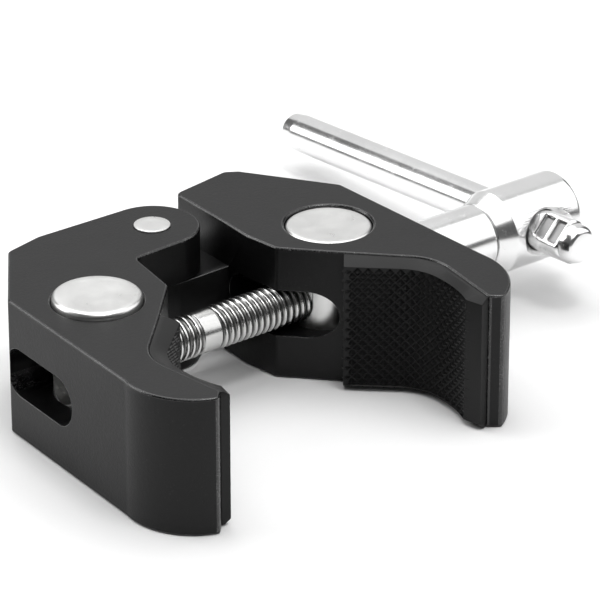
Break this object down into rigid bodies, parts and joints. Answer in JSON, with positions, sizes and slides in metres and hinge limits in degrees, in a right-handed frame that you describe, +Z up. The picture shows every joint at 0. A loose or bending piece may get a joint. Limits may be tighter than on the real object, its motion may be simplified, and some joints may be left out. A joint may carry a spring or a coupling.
{
  "type": "super clamp",
  "caption": "Crab-shaped super clamp: two black pivoting jaws with rubber pads, joined by a hinge pin and drawn together by a double-handed screw with a sliding T-handle.",
  "frame": {"origin": "foot of the hinge axis on the plane that the clamp lies on", "axes": "+X along the clamping screw towards its handle at rest, +Y from the screw towards the hinge, +Z up through the thickness of the jaws; the mouth opens towards -Y"},
  "size_m": [0.0904, 0.0843, 0.0203],
  "materials": {
    "jaw_coating": "die-cast aluminium with a satin black coating of fine grain, rubbed bright along its edges",
    "pad_rubber": "matt black moulded rubber with a diamond tread",
    "pin_steel": "faced and nickel-plated",
    "screw_steel": "bright rolled thread",
    "handle_chrome": "bright plated steel"
  },
  "bodies": {
    "left_jaw_body": {"left_jaw": "jaw_coating", "left_pad": "pad_rubber", "hinge_pin": "pin_steel"},
    "right_jaw_body": {"right_jaw": "jaw_coating", "right_pad": "pad_rubber"},
    "left_nut_body": {"left_barrel_nut": "pin_steel"},
    "right_nut_body": {"right_barrel_nut": "pin_steel"},
    "sleeve_body": {"spacer_sleeve": "handle_chrome"},
    "screw_body": {"screw": "screw_steel", "handle_head": "handle_chrome"},
    "crossbar_body": {"crossbar": "handle_chrome"}
  },
  "joints": [
    {"name": "handle_turn", "type": "hinge", "parent": "sleeve_body", "child": "screw_body", "pos_m": [0, -0.0142, 0.00975], "axis": [-1, 0, 0], "range_deg": [-360, 2610]},
    {"name": "jaw_close", "type": "hinge", "parent": "left_jaw_body", "child": "right_jaw_body", "pos_m": [0, 0, 0.00975], "axis": [0, 0, -1], "range_deg": [-6.49, 47.01]},
    {"name": "left_nut_swivel", "type": "hinge", "parent": "left_jaw_body", "child": "left_nut_body", "pos_m": [-0.0192, -0.0142, 0.00975], "axis": [0, 0, -1], "range_deg": [-3.25, 23.51]},
    {"name": "right_nut_swivel", "type": "hinge", "parent": "right_jaw_body", "child": "right_nut_body", "pos_m": [0.0192, -0.0142, 0.00975], "axis": [0, 0, 1], "range_deg": [-3.25, 23.51]},
    {"name": "screw_travel", "type": "slide", "parent": "left_nut_body", "child": "sleeve_body", "axis": [-1, 0, 0], "range_m": [-0.001, 0.00725]},
    {"name": "crossbar_slide", "type": "slide", "parent": "screw_body", "child": "crossbar_body", "axis": [0, -0.9969, 0.0785], "range_m": [0, 0.039]}
  ],
  "couplings": [
    {"joint": "jaw_close", "follows": "handle_turn", "ratio": 0.018008},
    {"joint": "left_nut_swivel", "follows": "handle_turn", "ratio": 0.0090038},
    {"joint": "right_nut_swivel", "follows": "handle_turn", "ratio": 0.0090038},
    {"joint": "screw_travel", "follows": "handle_turn", "m_per_rad": 0.00015915}
  ]
}
